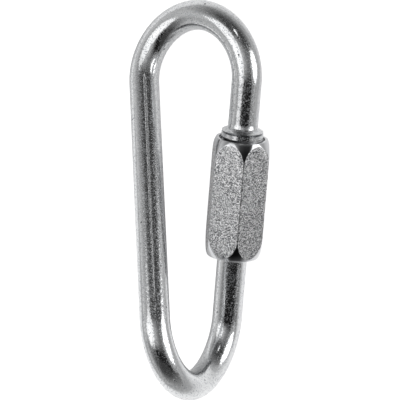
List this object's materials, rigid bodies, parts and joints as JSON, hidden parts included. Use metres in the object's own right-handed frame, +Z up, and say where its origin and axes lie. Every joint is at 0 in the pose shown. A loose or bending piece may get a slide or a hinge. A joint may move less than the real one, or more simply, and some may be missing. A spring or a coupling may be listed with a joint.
{
  "type": "chain quick link",
  "caption": "Twisted steel quick link: a bent rod loop with its ends turned across each other, and a gate in one leg that a long hexagon sleeve nut screws shut, for joining chain.",
  "frame": {"origin": "middle of the lying link's box, on the surface it lies on", "axes": "+Z up from the surface, +Y along the link towards the loop that the nut opens to, +X across to the gated leg"},
  "size_m": [0.038, 0.1042, 0.034],
  "materials": {
    "drawn_rod": "bright zinc plate on drawn rod",
    "hexagon_nut": "zinc plate, satin flats and bright turned ends"
  },
  "bodies": {
    "link": {"link_body": "drawn_rod"},
    "nut": {"sleeve_nut": "hexagon_nut"}
  },
  "joints": [
    {"name": "nut_run", "type": "slide", "parent": "link", "child": "nut", "axis": [0.0925, 0.98, 0.1764], "range_m": [0, 0.0155]}
  ]
}
